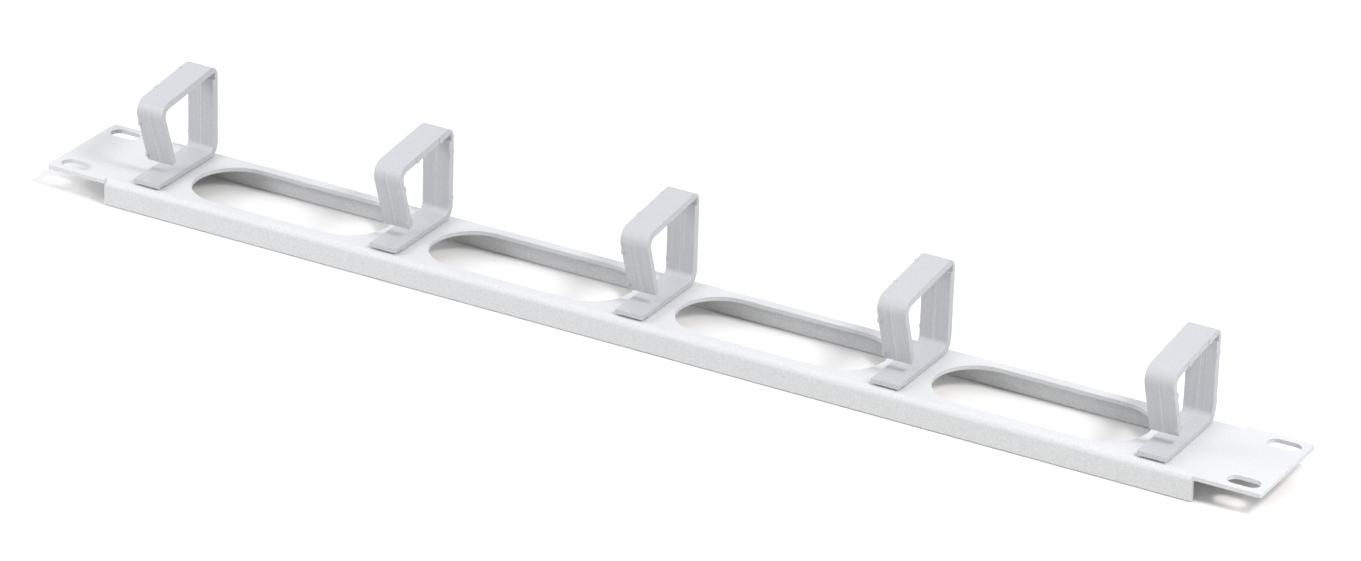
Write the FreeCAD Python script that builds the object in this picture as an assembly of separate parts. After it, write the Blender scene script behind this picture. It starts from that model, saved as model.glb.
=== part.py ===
import FreeCAD
import Part
import math
import os

# Rack cable management panel, one rack unit high, with five open cable rings.
# All lengths are millimetres. X runs along the panel, Y across it, Z out of its face.
# The part lies on the free edges of its two flanges, so those edges are at Z = 0.

# Panel
panel_length = 482.6
panel_height = 43.4
sheet_thickness = 1.5
flange_depth = 9.5
bend_outer_radius = 2.5
ear_length = 24.8
ear_corner_radius = 1.0

# Slots for the rack screws, placed from the ends and the long edges of the panel
slot_length = 12.0
slot_height = 6.2
slot_end_distance = 8.75
slot_edge_distance = 5.825

# Cable openings, and the metal left between two of them and along the long edges
opening_spacer = 20.0
opening_edge_strip = 5.7

# Rings, placed from the ends of the flanges and the long edges of the panel
ring_count = 5
ring_end_distance = 16.5
ring_width = 10.8
ring_front_margin = 2.5
ring_rear_margin = 2.3
ring_rear_height = 36.2
ring_front_drop = 4.5
ring_knee_setback = 0.8
ring_tip_setback = 9.2
ring_tip_height = 6.6
foot_thickness = 2.4
rear_leg_thickness = 3.1
top_bar_thickness = 2.7
front_leg_thickness = 2.3
foot_outer_radius = 5.5
top_outer_radius = 4.5
knee_outer_radius = 5.0
foot_inner_radius = 2.5
top_inner_radius = 0.8
knee_inner_radius = 2.6
nose_setback = 0.3
nose_gap_length = 2.5
nose_gap_height = 0.55

# Notch inside the top rear corner, where the ring bends as cables are pressed in
hinge_thickness = 1.7
notch_height = 2.6

# Pads left where the ring is pushed out of its mould, a little proud of its side
pad_radius = 1.6
pad_depth = 1.0
pad_rise = 0.25
pad_sides = (-1, 1, -1, -1, 1)

# Where the pads stand along the rear leg, the top bar and the front leg
pad_shares = ((0.2, 0.74), (0.2, 0.65), (0.32, 0.91))

# Studs that snap each ring into the panel
stud_front_distance = 7.2
stud_rear_distance = 7.4
stud_radius = 2.0
stud_clearance = 0.1
stud_catch = 0.4
stud_catch_play = 0.1
stud_catch_land = 0.5
stud_lead_height = 1.9
stud_end_radius = 1.5
stud_split = 1.0

# Places and sizes that follow from the sizes above
panel_top = flange_depth
panel_under = panel_top - sheet_thickness
flange_length = panel_length - 2 * ear_length
bend_inner_radius = bend_outer_radius - sheet_thickness
slot_reach_x = panel_length / 2 - slot_end_distance
slot_reach_y = panel_height / 2 - slot_edge_distance
ring_pitch = (flange_length - 2 * ring_end_distance) / (ring_count - 1)
ring_places = [(i - (ring_count - 1) / 2) * ring_pitch for i in range(ring_count)]
ring_front_y = -panel_height / 2 + ring_front_margin
ring_rear_y = panel_height / 2 - ring_rear_margin
opening_places = [(i - (ring_count - 2) / 2) * ring_pitch for i in range(ring_count - 1)]
opening_length = ring_pitch - opening_spacer
opening_height = panel_height - 2 * opening_edge_strip
stud_places = [ring_front_y + stud_front_distance, ring_rear_y - stud_rear_distance]
stud_catch_top = panel_under - stud_catch_play
stud_end = stud_catch_top - stud_catch_land - stud_lead_height


def vec(x, y, z):
    return FreeCAD.Vector(x, y, z)


def obround_cutter(centre_x, centre_y, length, height, bottom, top):
    radius = height / 2
    reach = length / 2 - radius
    depth = top - bottom
    ends = [
        Part.makeCylinder(radius, depth, vec(centre_x + side * reach, centre_y, bottom))
        for side in (-1, 1)
    ]
    middle = Part.makeBox(
        2 * reach, height, depth, vec(centre_x - reach, centre_y - radius, bottom)
    )
    return ends[0].fuse(ends[1]).fuse(middle)


def rounded_outline(points, radii, place):
    """Closed wire through the points, with each corner turned at its radius."""
    pieces = []
    starts = []
    ends = []
    arcs = []
    count = len(points)
    for i in range(count):
        before = points[i - 1]
        here = points[i]
        after = points[(i + 1) % count]
        if radii[i] <= 0:
            starts.append(here)
            ends.append(here)
            arcs.append(None)
            continue
        to_before = (before - here).normalize()
        to_after = (after - here).normalize()
        half_angle = to_before.getAngle(to_after) / 2
        run = radii[i] / math.tan(half_angle)
        first = here + to_before * run
        last = here + to_after * run
        inward = (to_before + to_after).normalize()
        centre = here + inward * (radii[i] / math.sin(half_angle))
        middle = centre - inward * radii[i]
        starts.append(first)
        ends.append(last)
        arcs.append(middle)
    for i in range(count):
        if arcs[i] is not None:
            pieces.append(Part.Arc(place(starts[i]), place(arcs[i]), place(ends[i])).toShape())
        following = (i + 1) % count
        pieces.append(Part.makeLine(place(ends[i]), place(starts[following])))
    return Part.Wire(pieces)


def in_side_plane(x):
    """Maps a profile point (y, z above the panel) into the plane at x."""
    return lambda point: vec(x, point.x, panel_top + point.y)


def folded_sheet():
    """The section with both flanges, drawn across the panel and run along it."""
    half = panel_height / 2
    outer = [(-half, 0), (-half, flange_depth), (half, flange_depth), (half, 0)]
    inner = [
        (half - sheet_thickness, 0),
        (half - sheet_thickness, panel_under),
        (-half + sheet_thickness, panel_under),
        (-half + sheet_thickness, 0),
    ]
    points = [vec(y, z, 0) for y, z in outer + inner]
    outer_radii = [0, bend_outer_radius, bend_outer_radius, 0]
    inner_radii = [0, bend_inner_radius, bend_inner_radius, 0]
    start = -flange_length / 2
    wire = rounded_outline(
        points, outer_radii + inner_radii, lambda point: vec(start, point.x, point.y)
    )
    return Part.Face(wire).extrude(vec(flange_length, 0, 0))


def ear(side):
    """Flat end of the panel beyond the flanges, with two rounded corners."""
    inner_x = side * flange_length / 2
    outer_x = side * panel_length / 2
    half = panel_height / 2
    points = [
        vec(inner_x, -half, 0),
        vec(outer_x, -half, 0),
        vec(outer_x, half, 0),
        vec(inner_x, half, 0),
    ]
    radii = [0, ear_corner_radius, ear_corner_radius, 0]
    wire = rounded_outline(points, radii, lambda point: vec(point.x, point.y, panel_under))
    return Part.Face(wire).extrude(vec(0, 0, sheet_thickness))


def make_panel():
    """The sheet and its ears. Each ear keeps its own underside, which rests on the rail."""
    panel = folded_sheet().fuse([ear(-1), ear(1)])
    below = panel_under - sheet_thickness
    above = panel_top + sheet_thickness
    cutters = []
    for side_x in (-1, 1):
        for side_y in (-1, 1):
            cutters.append(
                obround_cutter(
                    side_x * slot_reach_x,
                    side_y * slot_reach_y,
                    slot_length,
                    slot_height,
                    below,
                    above,
                )
            )
    for x in opening_places:
        cutters.append(obround_cutter(x, 0, opening_length, opening_height, below, above))
    for x in ring_places:
        for y in stud_places:
            cutters.append(
                Part.makeCylinder(stud_radius + stud_clearance, above - below, vec(x, y, below))
            )
    return panel.cut(cutters)


def shifted_line(start, end, distance):
    """The line from start to end, moved to its right by the distance."""
    along = (end - start).normalize()
    across = vec(along.y, -along.x, 0)
    return start + across * distance, end + across * distance


def meeting_point(line_a, line_b):
    a, b = line_a
    c, d = line_b
    ab = b - a
    cd = d - c
    share = ((c - a).x * cd.y - (c - a).y * cd.x) / (ab.x * cd.y - ab.y * cd.x)
    return a + ab * share


def ring_profile():
    """Outer and inner corner points of the ring seen from its side."""
    nose = vec(ring_front_y, 0, 0)
    heel = vec(ring_rear_y, 0, 0)
    crown = vec(ring_rear_y, ring_rear_height, 0)
    knee = vec(ring_front_y + ring_knee_setback, ring_rear_height - ring_front_drop, 0)
    tip = vec(ring_front_y + ring_tip_setback, ring_tip_height, 0)
    foot_in = shifted_line(heel, nose, foot_thickness)
    rear_in = shifted_line(crown, heel, rear_leg_thickness)
    top_in = shifted_line(knee, crown, top_bar_thickness)
    front_in = shifted_line(tip, knee, front_leg_thickness)
    heel_in = meeting_point(foot_in, rear_in)
    crown_in = meeting_point(rear_in, top_in)
    knee_in = meeting_point(top_in, front_in)
    tip_in = front_in[0]
    nose_in = vec(ring_front_y + nose_setback, foot_thickness, 0)
    return [nose, heel, crown, knee, tip], [nose_in, heel_in, crown_in, knee_in, tip_in]


def corner_notch(corner_in, knee_in):
    """Profile points of the notch, from the top bar down to the full rear leg."""
    back = ring_rear_y - hinge_thickness
    slope = (corner_in.y - knee_in.y) / (corner_in.x - knee_in.x)
    roof = corner_in.y + (back - corner_in.x) * slope
    ledge = corner_in.y - notch_height
    return [vec(back, roof, 0), vec(back, ledge, 0), vec(corner_in.x, ledge, 0)]


def ring_strip(x):
    outer, inner = ring_profile()
    nose_in, heel_in, corner_in, knee_in, tip_in = inner
    gap_end = ring_front_y + nose_gap_length
    nose_gap = [
        vec(ring_front_y, nose_gap_height, 0),
        vec(gap_end, nose_gap_height, 0),
        vec(gap_end, 0, 0),
    ]
    points = nose_gap + outer[1:] + [tip_in, knee_in]
    points += corner_notch(corner_in, knee_in) + [heel_in, nose_in]
    radii = [0, 0, 0, foot_outer_radius, top_outer_radius, knee_outer_radius, 0]
    radii += [0, knee_inner_radius, top_inner_radius, 0, 0, foot_inner_radius, 0]
    wire = rounded_outline(points, radii, in_side_plane(x - ring_width / 2))
    return Part.Face(wire).extrude(vec(ring_width, 0, 0))


def ejector_pads(x, side):
    """Two round pads on each bar above the foot, on one side face of the ring."""
    outer, inner = ring_profile()
    depth = pad_depth + pad_rise
    pads = []
    for bar, shares in enumerate(pad_shares, 1):
        start = (outer[bar] + inner[bar]) / 2
        end = (outer[bar + 1] + inner[bar + 1]) / 2
        for share in shares:
            centre = start + (end - start) * share
            base = in_side_plane(x + side * (ring_width / 2 + pad_rise))(centre)
            pads.append(Part.makeCylinder(pad_radius, depth, base, vec(-side, 0, 0)))
    return pads


def snap_stud(x, y):
    shank_bottom = stud_catch_top
    shank = Part.makeCylinder(stud_radius, panel_top - shank_bottom, vec(x, y, shank_bottom))
    catch_radius = stud_radius + stud_clearance + stud_catch
    land_bottom = stud_catch_top - stud_catch_land
    land = Part.makeCylinder(catch_radius, stud_catch_land, vec(x, y, land_bottom))
    lead = Part.makeCone(stud_end_radius, catch_radius, stud_lead_height, vec(x, y, stud_end))
    split = Part.makeBox(
        stud_split,
        2 * catch_radius,
        panel_top - stud_end,
        vec(x - stud_split / 2, y - catch_radius, stud_end),
    )
    return shank.fuse([land, lead]).cut(split)


def make_ring(x, pad_side):
    studs = [snap_stud(x, y) for y in stud_places]
    return ring_strip(x).fuse(ejector_pads(x, pad_side) + studs).removeSplitter()


def single_solid(shape):
    if len(shape.Solids) != 1:
        raise RuntimeError("expected one solid, found %d" % len(shape.Solids))
    return shape.Solids[0]


os.makedirs("parts", exist_ok=True)
single_solid(make_panel()).exportStep("parts/panel.step")
for number, place in enumerate(ring_places):
    ring = single_solid(make_ring(place, pad_sides[number % len(pad_sides)]))
    ring.exportStep("parts/ring_%d.step" % (number + 1))
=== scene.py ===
import math

import bmesh
import bpy
from bpy.props import FloatProperty, FloatVectorProperty, PointerProperty
from mathutils import Matrix, Vector


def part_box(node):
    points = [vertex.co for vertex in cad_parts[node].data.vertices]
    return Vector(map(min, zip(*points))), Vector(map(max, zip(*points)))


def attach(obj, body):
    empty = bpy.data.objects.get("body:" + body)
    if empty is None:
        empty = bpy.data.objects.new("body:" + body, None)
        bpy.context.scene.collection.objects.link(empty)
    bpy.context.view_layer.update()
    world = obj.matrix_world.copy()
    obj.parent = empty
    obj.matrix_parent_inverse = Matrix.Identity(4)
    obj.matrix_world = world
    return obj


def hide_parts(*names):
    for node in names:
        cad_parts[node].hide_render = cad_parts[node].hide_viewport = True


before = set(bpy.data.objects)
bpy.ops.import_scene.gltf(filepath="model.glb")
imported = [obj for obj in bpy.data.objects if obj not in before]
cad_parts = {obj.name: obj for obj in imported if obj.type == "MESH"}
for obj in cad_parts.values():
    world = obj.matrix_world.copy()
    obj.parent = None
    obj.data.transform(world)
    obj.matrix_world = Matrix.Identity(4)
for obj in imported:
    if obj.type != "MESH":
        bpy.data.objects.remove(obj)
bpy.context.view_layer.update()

bl_info = {
    "name": "Rack cable management panel",
    "version": (1, 0, 0),
    "blender": (4, 5, 0),
    "location": "3D View > Sidebar > Cable panel",
    "description": "Builds a slim 19 inch rack panel with five moulded cable rings",
    "category": "Object",
}

MM = 0.001
PANEL_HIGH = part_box("panel")[1]
RING_NODES = sorted(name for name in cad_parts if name.startswith("ring_"))

# The side of each ring, from the left, that carries its push-out pads: -1 is its left side
PAD_SIDES = [-1, 1, -1, -1, 1]
PAD_RISE = 0.25 * MM
PAD_RADIUS = 1.6 * MM
PAD_DEPTH = 1.2 * MM
# Where the pads sit on the rear leg, the top bar and the front leg, as shares of its length
PAD_SHARES = ((0.2, 0.74), (0.2, 0.65), (0.32, 0.91))
# The middle of each ring's strip. Its CAD box also holds the pads on one side
RING_PLACES = [
    (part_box(name)[0].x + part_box(name)[1].x - side * PAD_RISE) / 2
    for name, side in zip(RING_NODES, PAD_SIDES)
]
# The rings that show the stub where the plastic entered the mould
GATE_RINGS = ("ring_1", "ring_3", "ring_4")

# Points closer than this count as one place, and those closer than WELD are merged
TOUCH = 0.02 * MM
WELD = 0.002 * MM
# How far a cutter reaches beyond what it cuts, and the ends of those that go through the sheet
PAST = 1 * MM
THROUGH_LOW = -2 * MM
THROUGH_HIGH = PANEL_HIGH.z + 3 * MM

# Sharper turns than these are rounded, on the panel and pads, and on the strip of a ring
EDGE_TURN = math.radians(40)
STRIP_TURN = math.radians(30)
# How finely round shapes are drawn
EDGE_STEPS = 3
OUTER_FOLD_STEPS = 10
INNER_FOLD_STEPS = 6
CORNER_STEPS = 10
SLOT_SIDES = 56
OPENING_SIDES = 112
ROUND_SIDES = 32

# The corners of a ring's strip that are rounded, with radius and steps, outside and inside
OUTER_TURNS = ((1, 5.5 * MM, 12), (2, 4.5 * MM, 12), (3, 5.0 * MM, 14))
INNER_TURNS = ((1, 2.5 * MM, 8), (3, 2.6 * MM, 10))
# How far the foot's front face leans back, and how far the notch cuts into the open
NOSE_LEAN = 0.3 * MM
NOTCH_PAST = 1.2 * MM

# A snap stud: a round stem with a catch and a tapering lead, split down the middle
STEM_RADIUS = 2.0 * MM
CATCH_RADIUS = 2.5 * MM
LEAD_RADIUS = 1.5 * MM
STEM_IN_FOOT = 0.6 * MM
CATCH_DROP = 1.6 * MM
CATCH_HEIGHT = 0.5 * MM
LEAD_HEIGHT = 1.9 * MM
STEM_TIP_SHARE = 0.7
STEM_TIP_RISE = 0.4 * MM
SPLIT_HALF_WIDTH = 0.5 * MM
SPLIT_REACH = 4 * MM

# The gate's stub: its place above the front leg's tip, its radii, its root and its height
GATE_ABOVE_TIP = 8.2 * MM
GATE_RADII = (0.55 * MM, 0.4 * MM)
GATE_ROOT = 0.3 * MM
GATE_RISE = 0.12 * MM
GATE_SIDES = 16


def linear(hex_colour):
    """An sRGB hex colour, such as #E4E5E7, as linear values with full cover."""
    channels = [int(hex_colour[i : i + 2], 16) / 255 for i in (1, 3, 5)]
    values = [c / 12.92 if c <= 0.04045 else ((c + 0.055) / 1.055) ** 2.4 for c in channels]
    return (*values, 1.0)


def length(name, default, description):
    """A size in metres that the sidebar shows in the scene's units."""
    return FloatProperty(
        name=name, default=default, description=description, unit="LENGTH", precision=5
    )


def power(name, default, description):
    """The power of a lamp in watts."""
    return FloatProperty(
        name=name, default=default, min=0, description=description, unit="POWER"
    )


class PanelSizes(bpy.types.PropertyGroup):
    sheet: length("Sheet", 1.5 * MM, "Thickness of the steel sheet")
    ear: length("Ear", 24.8 * MM, "Length of each flat ear beyond the flanges")
    bend: length("Bend radius", 2.5 * MM, "Outside radius of the folds")
    ear_corner: length("Ear corner radius", 1.0 * MM, "Radius of the four outer corners")
    slot_length: length("Slot length", 12.0 * MM, "Length of a slot for a rack screw")
    slot_height: length("Slot height", 6.2 * MM, "Height of a slot for a rack screw")
    slot_reach_x: length("Slot place, X", 232.55 * MM, "Slot centre from the panel's middle")
    slot_reach_y: length("Slot place, Y", 15.875 * MM, "Slot centre from the long centre line")
    opening_length: length("Opening length", 80.0 * MM, "Length of a cable opening")
    opening_height: length("Opening height", 32.0 * MM, "Height of a cable opening")
    stud_hole: length("Stud hole radius", 2.1 * MM, "Radius of a hole for a ring's stud")
    edge: length("Edge softness", 0.2 * MM, "Rounding that the paint gives the cut edges")


class RingSizes(bpy.types.PropertyGroup):
    width: length("Width", 10.8 * MM, "Width of the moulded strip")
    front_y: length("Front", -19.2 * MM, "Front end of the foot")
    rear_y: length("Rear", 19.4 * MM, "Outer face of the rear leg")
    rear_height: length("Rear height", 36.2 * MM, "Height of the top rear corner")
    knee_y: length("Knee place", -18.4 * MM, "Outer corner where the top bar turns down")
    knee_height: length("Knee height", 31.7 * MM, "Height of that corner above the panel")
    tip_y: length("Tip place", -10.0 * MM, "Outer corner of the front leg's free end")
    tip_height: length("Tip height", 6.6 * MM, "Height of the free end above the panel")
    foot: length("Foot thickness", 2.4 * MM, "Thickness of the strip on the panel")
    rear_leg: length("Rear leg thickness", 3.1 * MM, "Thickness of the rear leg")
    top_bar: length("Top bar thickness", 2.7 * MM, "Thickness of the top bar")
    front_leg: length("Front leg thickness", 2.3 * MM, "Thickness of the front leg")
    edge: length("Edge radius", 0.25 * MM, "Rounding along both sides of the strip")
    hinge: length("Hinge thickness", 1.7 * MM, "What the notch leaves of the rear leg")
    notch: length("Notch height", 2.6 * MM, "Height of the notch in the top rear corner")
    stud_y: length("Stud place", 12.0 * MM, "Each stud from the panel's long centre line")
    gap_length: length("Nose gap length", 4.0 * MM, "Length of the gap under the foot's front")
    gap_height: length("Nose gap height", 0.8 * MM, "Height of the gap under the foot's front")
    step_width: length("Side step width", 1.2 * MM, "Width of the step along the foot's sides")
    step_height: length("Side step height", 0.45 * MM, "Height of that step")
    pad_rise: length("Pad rise", PAD_RISE, "How far the push-out pads stand out of the side")


class Finish(bpy.types.PropertyGroup):
    paint: FloatVectorProperty(
        name="Paint", subtype="COLOR", size=3, default=linear("#E0E1E3")[:3],
        min=0, max=1, description="Colour of the panel's powder coat",
    )
    plastic: FloatVectorProperty(
        name="Plastic", subtype="COLOR", size=3, default=linear("#C7C9CD")[:3],
        min=0, max=1, description="Colour of the rings' polyamide",
    )
    smooth_angle: FloatProperty(
        name="Smooth below", subtype="ANGLE", default=math.radians(34),
        description="Edges with a smaller turn than this are shaded smooth",
    )


class Studio(bpy.types.PropertyGroup):
    sky: FloatProperty(
        name="Sky", default=1.46, min=0, description="Strength of the light straight overhead"
    )
    key: power("Key", 7.0, "Power of the main lamp")
    left: power("Left", 8.0, "Power of the left lamp")
    side: power("Side", 1.6, "Power of the rear left lamp")
    back: power("Back", 1.4, "Power of the rear lamp")
    right: power("Right", 4.0, "Power of the right lamp")
    floor_size: length("Floor size", 16.0, "Side of the square floor")
    floor_drop: length("Floor drop", 0.4 * MM, "How far the floor lies under the flanges' edges")


# Working on meshes


def nothing_selected():
    """Leaves edit mode and deselects every object."""
    if bpy.context.object and bpy.context.object.mode != "OBJECT":
        bpy.ops.object.mode_set(mode="OBJECT")
    bpy.ops.object.select_all(action="DESELECT")


def only(piece):
    """Selects one object alone and makes it the active one."""
    nothing_selected()
    piece.select_set(True)
    bpy.context.view_layer.objects.active = piece


def take(name):
    """The object that was just added, with its place and size put into its mesh."""
    piece = bpy.context.object
    piece.name = name
    piece.data.name = name
    bpy.ops.object.transform_apply(location=True, rotation=True, scale=True)
    return piece


def block(name, low, high):
    """A box between two corners, as the start of a piece."""
    nothing_selected()
    low, high = Vector(low), Vector(high)
    bpy.ops.mesh.primitive_cube_add(size=1, location=(low + high) / 2, scale=high - low)
    return take(name)


def rod(name, start, end, radius, sides, end_radius=None):
    """A round bar, or a cone where the far end's radius differs."""
    nothing_selected()
    start, end = Vector(start), Vector(end)
    turn = (end - start).to_track_quat("Z", "Y").to_euler()
    if end_radius is None:
        end_radius = radius
    bpy.ops.mesh.primitive_cone_add(
        vertices=sides,
        radius1=radius,
        radius2=end_radius,
        depth=(end - start).length,
        location=(start + end) / 2,
        rotation=turn,
    )
    return take(name)


def choose(piece, kind, test):
    """In edit mode, selects the vertices, edges or faces whose points pass the test."""
    bpy.ops.mesh.select_mode(type=kind)
    bpy.ops.mesh.select_all(action="DESELECT")
    shape = bmesh.from_edit_mesh(piece.data)
    members = {"VERT": shape.verts, "EDGE": shape.edges, "FACE": shape.faces}[kind]
    count = 0
    for member in members:
        points = [member.co] if kind == "VERT" else [v.co for v in member.verts]
        if test(points):
            member.select_set(True)
            count += 1
    shape.select_flush_mode()
    bmesh.update_edit_mesh(piece.data)
    if not count:
        raise RuntimeError(f"nothing to select on {piece.name}")


def near(a, b):
    """True if two measures are the same, but for rounding."""
    return abs(a - b) < TOUCH


def all_at(points, x=None, y=None, z=None):
    """True if every point has the given coordinates."""
    wanted = [(i, value) for i, value in enumerate((x, y, z)) if value is not None]
    return all(near(p[i], value) for p in points for i, value in wanted)


def along_x(points):
    """True for an edge that runs along X for more than a millimetre."""
    return abs(points[0].x - points[1].x) > 1 * MM


def move(delta):
    """Moves what is selected."""
    bpy.ops.transform.translate(value=delta)


def cut(piece, tool, operation="DIFFERENCE"):
    """Cuts or joins with another closed shape, which is then removed."""
    only(piece)
    change = piece.modifiers.new("cut", "BOOLEAN")
    change.operation = operation
    change.solver = "EXACT"
    change.object = tool
    bpy.ops.object.modifier_apply(modifier=change.name)
    bpy.data.objects.remove(tool)


def joined(name, parts):
    """Several objects as one."""
    only(parts[0])
    for part in parts[1:]:
        part.select_set(True)
    bpy.ops.object.join()
    parts[0].name = name
    return parts[0]


def tidy_mesh(piece):
    """Merges doubles and drops the needless points that cutting leaves."""
    only(piece)
    bpy.ops.object.mode_set(mode="EDIT")
    bpy.ops.mesh.select_all(action="SELECT")
    bpy.ops.mesh.remove_doubles(threshold=WELD)
    bpy.ops.mesh.dissolve_degenerate(threshold=WELD)
    bpy.ops.mesh.normals_make_consistent(inside=False)
    bpy.ops.object.mode_set(mode="OBJECT")


def soften(piece, width, segments, angle):
    """Rounds every edge that turns more than the angle."""
    only(piece)
    change = piece.modifiers.new("soften", "BEVEL")
    change.width = width
    change.segments = segments
    change.limit_method = "ANGLE"
    change.angle_limit = angle
    change.use_clamp_overlap = True
    change.miter_outer = "MITER_ARC"
    bpy.ops.object.modifier_apply(modifier=change.name)


def finished(piece, node, material, angle):
    """Gives a piece its shading and finish, and lets it stand for its CAD node."""
    only(piece)
    bpy.ops.object.shade_smooth_by_angle(angle=angle)
    # Large faces weigh a little more than the narrow ones of the rounded edges
    weighting = piece.modifiers.new("weighted", "WEIGHTED_NORMAL")
    weighting.keep_sharp = True
    weighting.weight = 60
    bpy.ops.object.modifier_apply(modifier=weighting.name)
    piece.data.materials.clear()
    piece.data.materials.append(material)
    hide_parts(node)
    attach(piece, "root")


# Materials


def add_node(tree, kind, inputs=None, **settings):
    """One node with its settings. An input is a value, or the node or socket that feeds it."""
    node = tree.nodes.new(kind)
    for name, value in settings.items():
        setattr(node, name, value)
    for name, value in (inputs or {}).items():
        if isinstance(value, bpy.types.Node):
            value = value.outputs[0]
        if isinstance(value, bpy.types.NodeSocket):
            tree.links.new(value, node.inputs[name])
        else:
            node.inputs[name].default_value = value
    return node


def new_material(name):
    """A material with no nodes yet."""
    material = bpy.data.materials.new(name)
    material.use_nodes = True
    material.node_tree.nodes.clear()
    return material


def speckled(tree, factor, colour, low, high, top):
    """The colour, made darker or lighter by a pattern that goes from 0.25 to its top value."""
    tone = add_node(tree, "ShaderNodeValToRGB", {"Fac": factor})
    first, last = tone.color_ramp.elements
    first.position, last.position = 0.25, top
    first.color = tuple(low * c for c in colour) + (1,)
    last.color = tuple(min(1.0, high * c) for c in colour) + (1,)
    return tone


def coated(tree, index, tone, gloss, relief):
    """The surface itself, from its index of refraction, tone, roughness and relief."""
    shader = add_node(
        tree, "ShaderNodeBsdfPrincipled",
        {
            "IOR": index, "Specular IOR Level": 0.4,
            "Base Color": tone, "Roughness": gloss, "Normal": relief,
        },
    )
    add_node(tree, "ShaderNodeOutputMaterial", {"Surface": shader})


def powder_coat(colour):
    """Light grey polyester powder coat, sprayed on dry and baked.

    It has a soft sheen, a slow orange peel and a fine grain that shows as a faint speckle.
    The real grain is too fine for the render, so it is drawn at 0.5 mm, which just shows.
    """
    material = new_material("powder_coated_steel_light_grey")
    tree = material.node_tree
    peel_size, grain_size, relief_depth = 1.6 * MM, 0.5 * MM, 0.03 * MM
    place = add_node(tree, "ShaderNodeTexCoord").outputs["Object"]
    peel = add_node(
        tree, "ShaderNodeTexNoise",
        {"Vector": place, "Scale": 1 / peel_size, "Detail": 2.0, "Roughness": 0.5},
    )
    grain = add_node(
        tree, "ShaderNodeTexNoise",
        {"Vector": place, "Scale": 1 / grain_size, "Detail": 1.0, "Roughness": 0.5},
    )
    tone = speckled(tree, grain.outputs[0], colour, 0.915, 1.08, 0.75)
    gloss = add_node(tree, "ShaderNodeMapRange", {"Value": peel, "To Min": 0.42, "To Max": 0.56})
    relief = add_node(
        tree, "ShaderNodeBump", {"Height": peel, "Distance": relief_depth, "Strength": 0.35}
    )
    relief = add_node(
        tree, "ShaderNodeBump",
        {"Height": grain, "Distance": relief_depth, "Strength": 0.55, "Normal": relief},
    )
    coated(tree, 1.48, tone, gloss, relief)
    return material


def leg_streaks(tree, place):
    """Flow lines along the legs, and a thin pale seam down their middle that comes and goes.

    The lines are 0.35 mm wide and 25 mm long, and strongest near the middle of the strip.
    """
    line_width, line_length, patch_size = 0.35 * MM, 25 * MM, 1.8 * MM
    parts = add_node(tree, "ShaderNodeSeparateXYZ", {"Vector": place})
    pitch = RING_PLACES[1] - RING_PLACES[0]
    across = add_node(
        tree, "ShaderNodeMath",
        {0: parts.outputs["X"], 1: pitch / 2, 2: -pitch / 2},
        operation="WRAP",
    )
    away = add_node(tree, "ShaderNodeMath", {0: across}, operation="ABSOLUTE")
    stretch = add_node(
        tree, "ShaderNodeMapping",
        {"Vector": place, "Scale": (1 / line_width, 1 / line_length, 1 / line_length)},
    )
    flow = add_node(
        tree, "ShaderNodeTexNoise",
        {"Vector": stretch, "Scale": 1.0, "Detail": 2.0, "Roughness": 0.5},
    )
    wave = add_node(tree, "ShaderNodeMath", {0: flow, 1: 0.5}, operation="SUBTRACT")
    strength = add_node(
        tree, "ShaderNodeMapRange",
        {"Value": away, "From Min": 0.6 * MM, "From Max": 3.2 * MM, "To Min": 1.5, "To Max": 0.5},
    )
    lines = add_node(tree, "ShaderNodeMath", {0: wave, 1: strength}, operation="MULTIPLY")
    patches = add_node(
        tree, "ShaderNodeTexNoise",
        {"Vector": place, "Scale": 1 / patch_size, "Detail": 2.0, "Roughness": 0.5},
    )
    broken = add_node(
        tree, "ShaderNodeMapRange",
        {"Value": patches, "From Min": 0.4, "From Max": 0.6, "To Min": 0.15, "To Max": 0.75},
    )
    ridge = add_node(
        tree, "ShaderNodeMapRange",
        {"Value": away, "From Min": 0.1 * MM, "From Max": 0.3 * MM, "To Min": 1.0, "To Max": 0.0},
    )
    seam = add_node(tree, "ShaderNodeMath", {0: ridge, 1: broken}, operation="MULTIPLY")
    both = add_node(tree, "ShaderNodeMath", {0: lines, 1: seam}, operation="ADD")
    above_foot = add_node(
        tree, "ShaderNodeMapRange",
        {
            "Value": parts.outputs["Z"], "From Min": 12.5 * MM, "From Max": 15 * MM,
            "To Min": 0.0, "To Max": 1.0,
        },
    )
    below_bar = add_node(
        tree, "ShaderNodeMapRange",
        {
            "Value": parts.outputs["Z"], "From Min": 36 * MM, "From Max": 40 * MM,
            "To Min": 1.0, "To Max": 0.0,
        },
    )
    on_legs = add_node(tree, "ShaderNodeMath", {0: above_foot, 1: below_bar}, operation="MULTIPLY")
    return add_node(tree, "ShaderNodeMath", {0: both, 1: on_legs}, operation="MULTIPLY")


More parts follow.
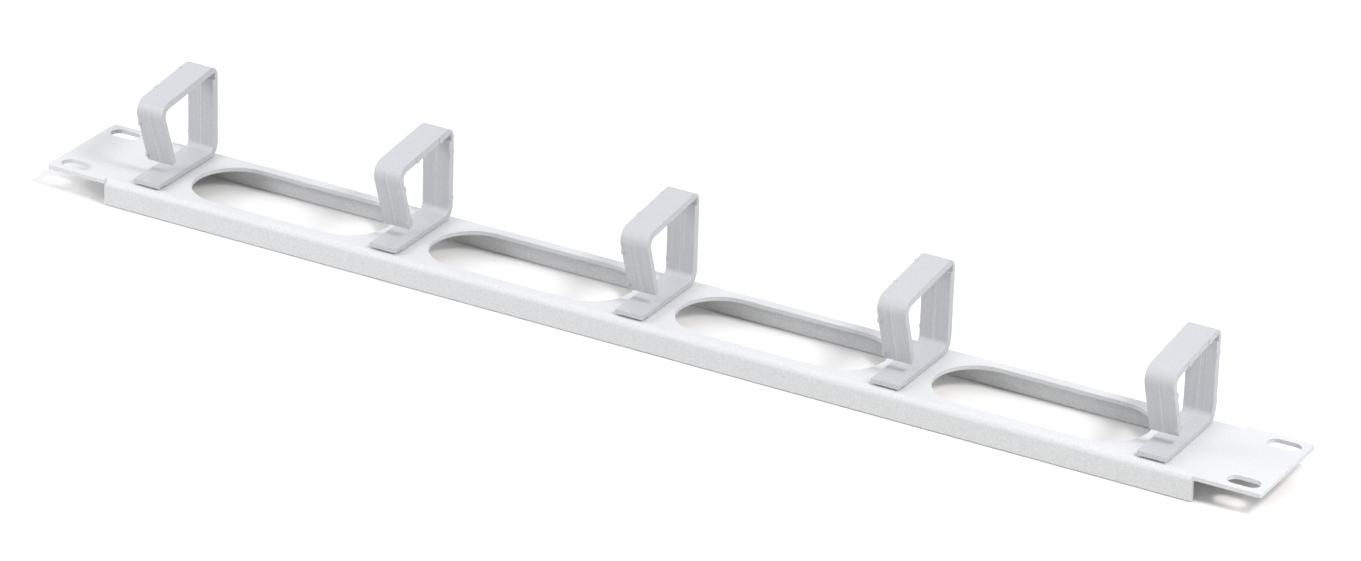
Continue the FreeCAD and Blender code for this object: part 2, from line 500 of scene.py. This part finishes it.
def moulded_plastic(colour):
    """Light grey polyamide, injection moulded in a finely eroded steel mould.

    It is satin, with a mottled grain, and its legs show how the plastic flowed. The real
    grain is too fine for the render, so it is drawn at 0.45 mm, which just shows.
    """
    material = new_material("moulded_polyamide_light_grey")
    tree = material.node_tree
    grain_size, streak_depth, grain_depth = 0.45 * MM, 0.04 * MM, 0.03 * MM
    place = add_node(tree, "ShaderNodeTexCoord").outputs["Object"]
    grain = add_node(
        tree, "ShaderNodeTexNoise",
        {"Vector": place, "Scale": 1 / grain_size, "Detail": 2.0, "Roughness": 0.6},
    )
    streaks = leg_streaks(tree, place)
    mottle = add_node(tree, "ShaderNodeMath", {0: streaks, 1: grain}, operation="ADD")
    tone = speckled(tree, mottle.outputs[0], colour, 0.915, 1.17, 1.0)
    gloss = add_node(tree, "ShaderNodeMapRange", {"Value": grain, "To Min": 0.4, "To Max": 0.55})
    relief = add_node(
        tree, "ShaderNodeBump", {"Height": streaks, "Distance": streak_depth, "Strength": 0.3}
    )
    relief = add_node(
        tree, "ShaderNodeBump",
        {"Height": grain, "Distance": grain_depth, "Strength": 0.6, "Normal": relief},
    )
    coated(tree, 1.53, tone, gloss, relief)
    return material


def seen_directly(tree):
    """One for what the camera sees straight, mirrored or through glass, else nought."""
    path = add_node(tree, "ShaderNodeLightPath")
    mirrored = add_node(
        tree, "ShaderNodeMath",
        {0: path.outputs["Is Glossy Ray"], 1: path.outputs["Is Transmission Ray"]},
        operation="MAXIMUM",
    )
    return add_node(
        tree, "ShaderNodeMath",
        {0: path.outputs["Is Camera Ray"], 1: mirrored},
        operation="MAXIMUM",
    )


def matt_paper():
    """White matt studio paper, which shows a little whiter than it lights the object."""
    material = new_material("studio_paper_white")
    tree = material.node_tree
    thrown = add_node(tree, "ShaderNodeBsdfDiffuse", {"Color": linear("#EAE9E6")})
    shown = add_node(tree, "ShaderNodeBsdfDiffuse", {"Color": linear("#FEFDFC")})
    mixed = add_node(tree, "ShaderNodeMixShader", {0: seen_directly(tree), 1: thrown, 2: shown})
    add_node(tree, "ShaderNodeOutputMaterial", {"Surface": mixed})
    return material


# The steel panel


def folded_sheet(sizes):
    """The sheet between the ears, with a flange folded down along each long edge."""
    half = PANEL_HIGH.y
    top = PANEL_HIGH.z
    under = top - sizes.sheet
    reach = PANEL_HIGH.x - sizes.ear
    inner = half - sizes.sheet
    sheet = block("folded_sheet", (-reach, -half, under), (reach, half, top))
    only(sheet)
    bpy.ops.object.mode_set(mode="EDIT")
    for side in (-1, 1):
        bpy.ops.mesh.select_all(action="SELECT")
        bpy.ops.mesh.bisect(plane_co=(0, side * inner, 0), plane_no=(0, 1, 0))
    for side in (-1, 1):
        choose(
            sheet, "FACE",
            lambda p: all_at(p, z=under) and all(side * q.y > inner - TOUCH for q in p),
        )
        bpy.ops.mesh.extrude_region_move(TRANSFORM_OT_translate={"value": (0, 0, -under)})
    # The flat faces are made whole, so that the folds can be rounder than the sheet is thick
    bpy.ops.mesh.select_all(action="SELECT")
    bpy.ops.mesh.dissolve_limited(angle_limit=math.radians(1))
    for edge_y, edge_z, radius, steps in (
        (half, top, sizes.bend, OUTER_FOLD_STEPS),
        (inner, under, sizes.bend - sizes.sheet, INNER_FOLD_STEPS),
    ):
        choose(
            sheet, "EDGE",
            lambda p: along_x(p)
            and all_at(p, z=edge_z)
            and all(near(abs(q.y), edge_y) for q in p),
        )
        bpy.ops.mesh.bevel(offset=radius, offset_type="OFFSET", segments=steps, affect="EDGES")
    bpy.ops.object.mode_set(mode="OBJECT")
    return sheet


def ear(sizes, side):
    """A flat end of the panel with two rounded outer corners."""
    half = PANEL_HIGH.y
    top = PANEL_HIGH.z
    xs = sorted((side * (PANEL_HIGH.x - sizes.ear), side * PANEL_HIGH.x))
    plate = block("ear", (xs[0], -half, top - sizes.sheet), (xs[1], half, top))
    only(plate)
    bpy.ops.object.mode_set(mode="EDIT")
    choose(
        plate, "EDGE",
        lambda p: abs(p[0].z - p[1].z) > 1 * MM and all_at(p, x=side * PANEL_HIGH.x),
    )
    bpy.ops.mesh.bevel(
        offset=sizes.ear_corner, offset_type="OFFSET", segments=CORNER_STEPS, affect="EDGES"
    )
    bpy.ops.object.mode_set(mode="OBJECT")
    return plate


def obround(place_x, place_y, long_side, short_side, sides):
    """A bar with two round ends, made from a round bar whose halves are drawn apart."""
    radius = short_side / 2
    bar = rod("obround", (0, 0, THROUGH_LOW), (0, 0, THROUGH_HIGH), radius, sides)
    only(bar)
    # Turned by half a side, so that no corner lies on the line between the halves
    bpy.ops.transform.rotate(value=math.pi / sides, orient_axis="Z", center_override=(0, 0, 0))
    bpy.ops.object.transform_apply(location=True, rotation=True, scale=True)
    bpy.ops.object.mode_set(mode="EDIT")
    for side in (-1, 1):
        choose(bar, "VERT", lambda p: side * p[0].x > 0)
        move((side * (long_side / 2 - radius), 0, 0))
    bpy.ops.mesh.select_all(action="SELECT")
    move((place_x, place_y, 0))
    bpy.ops.object.mode_set(mode="OBJECT")
    return bar


def panel_cutters(sizes, stud_y):
    """The rack slots, the cable openings between the rings, and the holes for their studs."""
    cutters = []
    for side_x in (-1, 1):
        for side_y in (-1, 1):
            cutters.append(
                obround(
                    side_x * sizes.slot_reach_x, side_y * sizes.slot_reach_y,
                    sizes.slot_length, sizes.slot_height, SLOT_SIDES,
                )
            )
    for before, after in zip(RING_PLACES, RING_PLACES[1:]):
        middle = (before + after) / 2
        cutters.append(
            obround(middle, 0, sizes.opening_length, sizes.opening_height, OPENING_SIDES)
        )
    for x in RING_PLACES:
        for y in (-stud_y, stud_y):
            ends = (x, y, THROUGH_LOW), (x, y, THROUGH_HIGH)
            cutters.append(rod("hole", *ends, sizes.stud_hole, ROUND_SIDES))
    return cutters


class CABLEPANEL_OT_build_panel(bpy.types.Operator):
    """Build the folded steel panel with its ears, slots and cable openings"""

    bl_idname = "cable_panel.build_panel"
    bl_label = "Build panel"

    def execute(self, context):
        sizes = context.scene.cable_panel
        finish = context.scene.cable_finish
        panel = folded_sheet(sizes)
        for side in (-1, 1):
            cut(panel, ear(sizes, side), "UNION")
        cutters = panel_cutters(sizes, context.scene.cable_ring.stud_y)
        cut(panel, joined("cutters", cutters))
        tidy_mesh(panel)
        soften(panel, sizes.edge, EDGE_STEPS, EDGE_TURN)
        panel.name = "panel_painted"
        material = powder_coat(tuple(finish.paint))
        finished(panel, "panel", material, finish.smooth_angle)
        return {"FINISHED"}


# The moulded rings


def moved_line(start, end, distance):
    """The line from start to end in the side view, moved to its right."""
    along = (end - start).normalized()
    across = Vector((along.y, -along.x))
    return start + across * distance, end + across * distance


def crossing(line_a, line_b):
    """Where two lines in the side view meet."""
    a, b = line_a
    c, d = line_b
    ab = b - a
    cd = d - c
    share = ((c - a).x * cd.y - (c - a).y * cd.x) / (ab.x * cd.y - ab.y * cd.x)
    return a + ab * share


def ring_corners(sizes):
    """Outer and inner corners of the strip in the side view, as (y, z) above the panel."""
    nose = Vector((sizes.front_y, 0))
    heel = Vector((sizes.rear_y, 0))
    crown = Vector((sizes.rear_y, sizes.rear_height))
    knee = Vector((sizes.knee_y, sizes.knee_height))
    tip = Vector((sizes.tip_y, sizes.tip_height))
    foot_in = moved_line(heel, nose, sizes.foot)
    rear_in = moved_line(crown, heel, sizes.rear_leg)
    top_in = moved_line(knee, crown, sizes.top_bar)
    front_in = moved_line(tip, knee, sizes.front_leg)
    inner = [
        Vector((sizes.front_y + NOSE_LEAN, sizes.foot)),
        crossing(foot_in, rear_in),
        crossing(rear_in, top_in),
        crossing(top_in, front_in),
        front_in[0],
    ]
    return [nose, heel, crown, knee, tip], inner


def extend_strip(strip, outer, inner, step):
    """Extrudes the end face of the strip and sets it at the next corner."""
    bpy.ops.mesh.extrude_region_move(TRANSFORM_OT_translate={"value": (0, 0, 0)})
    shape = bmesh.from_edit_mesh(strip.data)
    ends = [v for v in shape.verts if v.select]
    for corners in (outer, inner):
        delta = corners[step + 1] - corners[step]
        here = Vector((0, corners[step].x, PANEL_HIGH.z + corners[step].y))
        bpy.ops.mesh.select_all(action="DESELECT")
        shape = bmesh.from_edit_mesh(strip.data)
        shape.verts.ensure_lookup_table()
        for vertex in ends:
            if (Vector((0, vertex.co.y, vertex.co.z)) - here).length < TOUCH:
                vertex.select_set(True)
        bmesh.update_edit_mesh(strip.data)
        move((0, delta.x, delta.y))
        shape = bmesh.from_edit_mesh(strip.data)
    bpy.ops.mesh.select_all(action="DESELECT")
    for vertex in ends:
        vertex.select_set(True)
    shape.select_flush_mode()
    bmesh.update_edit_mesh(strip.data)


def turn_corner(strip, corners, radius, steps):
    """Rounds the strip's edge at the middle one of three corners."""
    before, corner, after = corners
    half_angle = (before - corner).normalized().angle((after - corner).normalized()) / 2
    choose(
        strip, "EDGE",
        lambda p: along_x(p) and all_at(p, y=corner.x, z=PANEL_HIGH.z + corner.y),
    )
    bpy.ops.mesh.bevel(
        offset=radius / math.tan(half_angle), offset_type="OFFSET",
        segments=steps, affect="EDGES",
    )


def notch_cutter(sizes, inner):
    """What is cut from the rear leg below the top bar, so that the ring can bend there."""
    back = sizes.rear_y - sizes.hinge
    corner, knee = inner[2], inner[3]
    slope = (corner.y - knee.y) / (corner.x - knee.x)
    front = corner.x - NOTCH_PAST
    roof = PANEL_HIGH.z + corner.y
    ledge = roof - sizes.notch
    cutter = block("notch", (-sizes.width, front, ledge), (sizes.width, back, roof))
    only(cutter)
    bpy.ops.object.mode_set(mode="EDIT")
    for y in (front, back):
        choose(cutter, "VERT", lambda p: near(p[0].y, y) and near(p[0].z, roof))
        move((0, 0, (y - corner.x) * slope))
    bpy.ops.object.mode_set(mode="OBJECT")
    return cutter


def ring_strip(sizes):
    """The strip of one ring, standing over the middle of the panel."""
    outer, inner = ring_corners(sizes)
    half = sizes.width / 2
    base = PANEL_HIGH.z
    strip = block(
        "strip", (-half, sizes.front_y, base), (half, sizes.rear_y, base + sizes.foot)
    )
    only(strip)
    bpy.ops.object.mode_set(mode="EDIT")
    for end_y, corner in ((sizes.front_y, inner[0]), (sizes.rear_y, inner[1])):
        choose(strip, "VERT", lambda p: near(p[0].y, end_y) and p[0].z > base + 1 * MM)
        move((0, corner.x - end_y, 0))
    choose(strip, "FACE", lambda p: all(q.y > inner[1].x - TOUCH for q in p))
    bpy.ops.mesh.select_mode(type="VERT")
    for step in (1, 2, 3):
        extend_strip(strip, outer, inner, step)
    for corners, turns in ((outer, OUTER_TURNS), (inner, INNER_TURNS)):
        for corner, radius, steps in turns:
            turn_corner(strip, corners[corner - 1 : corner + 2], radius, steps)
    bpy.ops.object.mode_set(mode="OBJECT")
    cut(strip, notch_cutter(sizes, inner))
    return strip


def foot_cutters(sizes):
    """The gap under the foot's front end and a low step along each of its sides."""
    base = PANEL_HIGH.z
    front = sizes.front_y - PAST
    gap_end = sizes.front_y + sizes.gap_length
    cutters = [
        block(
            "gap",
            (-sizes.width, front, base - PAST),
            (sizes.width, gap_end, base + sizes.gap_height),
        )
    ]
    half = sizes.width / 2
    for side in (-1, 1):
        xs = sorted((side * (half - sizes.step_width), side * (half + PAST)))
        cutters.append(
            block(
                "step",
                (xs[0], front, base - PAST),
                (xs[1], sizes.rear_y + PAST, base + sizes.step_height),
            )
        )
    return cutters


def snap_studs(sizes):
    """Two split studs under the foot, which hold the ring in the panel's holes."""
    base = PANEL_HIGH.z
    catch_top = base - CATCH_DROP
    catch_under = catch_top - CATCH_HEIGHT
    end = catch_under - LEAD_HEIGHT
    studs = []
    for y in (-sizes.stud_y, sizes.stud_y):
        tip, root = (0, y, end), (0, y, catch_under)
        stud = rod("stud", tip, (0, y, base + STEM_IN_FOOT), STEM_RADIUS, ROUND_SIDES)
        catch = rod("catch", root, (0, y, catch_top), CATCH_RADIUS, ROUND_SIDES)
        lead = rod("lead", tip, root, LEAD_RADIUS, ROUND_SIDES, CATCH_RADIUS)
        only(stud)
        bpy.ops.object.mode_set(mode="EDIT")
        choose(stud, "VERT", lambda p: near(p[0].z, end))
        bpy.ops.transform.resize(
            value=(STEM_TIP_SHARE, STEM_TIP_SHARE, 1), center_override=(0, y, end)
        )
        move((0, 0, STEM_TIP_RISE))
        bpy.ops.object.mode_set(mode="OBJECT")
        cut(stud, catch, "UNION")
        cut(stud, lead, "UNION")
        split = block(
            "split",
            (-SPLIT_HALF_WIDTH, y - SPLIT_REACH, end - PAST),
            (SPLIT_HALF_WIDTH, y + SPLIT_REACH, base),
        )
        cut(stud, split)
        studs.append(stud)
    return studs


def push_out_pads(sizes, side):
    """Round pads on one side face, where pins push the ring out of its mould."""
    outer, inner = ring_corners(sizes)
    out = side * (sizes.width / 2 + sizes.pad_rise)
    pads = []
    for bar, shares in enumerate(PAD_SHARES, 1):
        start = (outer[bar] + inner[bar]) / 2
        end = (outer[bar + 1] + inner[bar + 1]) / 2
        for share in shares:
            spot = start.lerp(end, share)
            place = Vector((out, spot.x, PANEL_HIGH.z + spot.y))
            depth = Vector((-side * PAD_DEPTH, 0, 0))
            pad = rod("pad", place + depth, place, PAD_RADIUS, ROUND_SIDES)
            soften(pad, 0.1 * MM, 2, EDGE_TURN)
            pads.append(pad)
    return pads


def gate_mark(sizes):
    """The little stub where the plastic entered the mould, low on the front leg."""
    outer = ring_corners(sizes)[0]
    knee, tip = outer[3], outer[4]
    along = (tip - knee).normalized()
    out = Vector((0, along.y, -along.x))
    if out.y > 0:
        out = -out
    spot = tip - along * GATE_ABOVE_TIP
    place = Vector((0, spot.x, PANEL_HIGH.z + spot.y))
    wide, narrow = GATE_RADII
    return rod(
        "gate", place - out * GATE_ROOT, place + out * GATE_RISE, wide, GATE_SIDES, narrow
    )


class CABLEPANEL_OT_build_rings(bpy.types.Operator):
    """Build one moulded ring and copy it to each place along the panel"""

    bl_idname = "cable_panel.build_rings"
    bl_label = "Build rings"

    def execute(self, context):
        sizes = context.scene.cable_ring
        finish = context.scene.cable_finish
        material = moulded_plastic(tuple(finish.plastic))
        pattern = ring_strip(sizes)
        tidy_mesh(pattern)
        soften(pattern, sizes.edge, EDGE_STEPS, STRIP_TURN)
        for cutter in foot_cutters(sizes):
            cut(pattern, cutter)
        for stud in snap_studs(sizes):
            cut(pattern, stud, "UNION")
        for node, place, side in zip(RING_NODES, RING_PLACES, PAD_SIDES):
            ring = pattern.copy()
            ring.data = pattern.data.copy()
            context.scene.collection.objects.link(ring)
            ring.name = node + "_moulded"
            for pad in push_out_pads(sizes, side):
                cut(ring, pad, "UNION")
            if node in GATE_RINGS:
                cut(ring, gate_mark(sizes), "UNION")
            tidy_mesh(ring)
            only(ring)
            move((place, 0, 0))
            bpy.ops.object.transform_apply(location=True, rotation=True, scale=True)
            finished(ring, node, material, finish.smooth_angle)
        bpy.data.objects.remove(pattern)
        return {"FINISHED"}


# The studio


def soft_lamp(name, place, size, energy, colour):
    """A rectangular lamp that shines on the middle of the panel."""
    bpy.ops.object.light_add(type="AREA", location=place)
    lamp = bpy.context.object
    lamp.name = name
    lamp.data.shape = "RECTANGLE"
    lamp.data.size, lamp.data.size_y = size
    lamp.data.energy = energy
    lamp.data.color = colour
    lamp.rotation_euler = (-Vector(place)).to_track_quat("-Z", "Y").to_euler()


def photo_camera():
    """A long lens at the photograph's place, solved from the rack standard's sizes."""
    azimuth, elevation, roll = math.radians(28.75), math.radians(25.22), math.radians(1.82)
    target = Vector((-9.98, 35.5, 0)) * MM
    distance = 2225.2 * MM
    focal_pixels, photo_width, sensor_width = 6292.95, 1361, 36.0
    back = Vector(
        (
            math.cos(elevation) * math.sin(azimuth),
            -math.cos(elevation) * math.cos(azimuth),
            math.sin(elevation),
        )
    )
    ahead = -back
    level = ahead.cross(Vector((0, 0, 1))).normalized()
    rise = level.cross(ahead)
    right = level * math.cos(roll) + rise * math.sin(roll)
    up = rise * math.cos(roll) - level * math.sin(roll)
    turn = Matrix((right, up, back)).transposed()
    bpy.ops.object.camera_add()
    camera = bpy.context.object
    camera.name = "photo_camera"
    camera.matrix_world = Matrix.Translation(target + back * distance) @ turn.to_4x4()
    camera.data.sensor_fit = "HORIZONTAL"
    camera.data.sensor_width = sensor_width
    camera.data.lens = focal_pixels / photo_width * sensor_width
    camera.data.clip_start = 0.05
    camera.data.clip_end = 60.0
    bpy.context.scene.camera = camera


def white_surround(strength):
    """A white surround whose light comes mostly from overhead and dies away to the sides."""
    world = bpy.data.worlds.new("white_surround")
    world.use_nodes = True
    tree = world.node_tree
    tree.nodes.clear()
    direction = add_node(tree, "ShaderNodeTexCoord").outputs["Generated"]
    parts = add_node(tree, "ShaderNodeSeparateXYZ", {"Vector": direction})
    height = add_node(
        tree, "ShaderNodeMath", {0: parts.outputs["Z"], 1: 0.0}, operation="MAXIMUM"
    )
    falling = add_node(tree, "ShaderNodeMath", {0: height, 1: 3.0}, operation="POWER")
    level = add_node(tree, "ShaderNodeMath", {0: falling, 1: strength}, operation="MULTIPLY")
    light = add_node(
        tree, "ShaderNodeBackground", {"Color": linear("#FBFCFF"), "Strength": level}
    )
    shown = add_node(
        tree, "ShaderNodeBackground", {"Color": linear("#FFFFFF"), "Strength": 1.0}
    )
    mixed = add_node(tree, "ShaderNodeMixShader", {0: seen_directly(tree), 1: light, 2: shown})
    add_node(tree, "ShaderNodeOutputWorld", {"Surface": mixed})
    bpy.context.scene.world = world


class CABLEPANEL_OT_build_stage(bpy.types.Operator):
    """Lay the white floor, hang the soft lamps and set the camera"""

    bl_idname = "cable_panel.build_stage"
    bl_label = "Build stage"

    def execute(self, context):
        studio = context.scene.cable_studio
        nothing_selected()
        bpy.ops.mesh.primitive_plane_add(
            size=studio.floor_size, location=(0, 0, -studio.floor_drop)
        )
        floor = take("floor")
        floor.data.materials.append(matt_paper())
        warm, plain = (1.0, 0.99, 0.975), (1.0, 1.0, 1.0)
        for name, place, size, energy, colour in (
            ("key_lamp", (0.82, -0.27, 0.95), (0.26, 0.26), studio.key, warm),
            ("left_lamp", (-0.98, -0.66, 0.58), (0.7, 0.6), studio.left, plain),
            ("right_lamp", (1.5, 0.0, 0.75), (0.9, 0.6), studio.right, plain),
            ("side_lamp", (-1.2, 0.9, 0.9), (0.8, 0.6), studio.side, plain),
            ("back_lamp", (0, 1.8, 1.2), (2.0, 0.8), studio.back, plain),
        ):
            soft_lamp(name, place, size, energy, colour)
        white_surround(studio.sky)
        photo_camera()
        context.scene.view_settings.view_transform = "Standard"
        return {"FINISHED"}


class CABLEPANEL_PT_sidebar(bpy.types.Panel):
    """Sizes, finishes and build steps of the cable panel"""

    bl_idname = "CABLEPANEL_PT_sidebar"
    bl_label = "Cable panel"
    bl_space_type = "VIEW_3D"
    bl_region_type = "UI"
    bl_category = "Cable panel"

    def draw(self, context):
        layout = self.layout
        scene = context.scene
        for title, group in (
            ("Panel", scene.cable_panel),
            ("Rings", scene.cable_ring),
            ("Finish", scene.cable_finish),
            ("Studio", scene.cable_studio),
        ):
            box = layout.box()
            box.label(text=title)
            for name in group.__annotations__:
                box.prop(group, name)
        for operator in BUILD_STEPS:
            layout.operator(operator.bl_idname)


SIZE_GROUPS = {
    "cable_panel": PanelSizes,
    "cable_ring": RingSizes,
    "cable_finish": Finish,
    "cable_studio": Studio,
}
BUILD_STEPS = (
    CABLEPANEL_OT_build_panel,
    CABLEPANEL_OT_build_rings,
    CABLEPANEL_OT_build_stage,
)


def register():
    for group in SIZE_GROUPS.values():
        bpy.utils.register_class(group)
    for operator in BUILD_STEPS:
        bpy.utils.register_class(operator)
    bpy.utils.register_class(CABLEPANEL_PT_sidebar)
    for name, group in SIZE_GROUPS.items():
        setattr(bpy.types.Scene, name, PointerProperty(type=group))


def unregister():
    for name in SIZE_GROUPS:
        delattr(bpy.types.Scene, name)
    bpy.utils.unregister_class(CABLEPANEL_PT_sidebar)
    for operator in reversed(BUILD_STEPS):
        bpy.utils.unregister_class(operator)
    for group in reversed(list(SIZE_GROUPS.values())):
        bpy.utils.unregister_class(group)


def main():
    register()
    bpy.ops.cable_panel.build_panel()
    bpy.ops.cable_panel.build_rings()
    bpy.ops.cable_panel.build_stage()


if __name__ == "__main__":
    main()
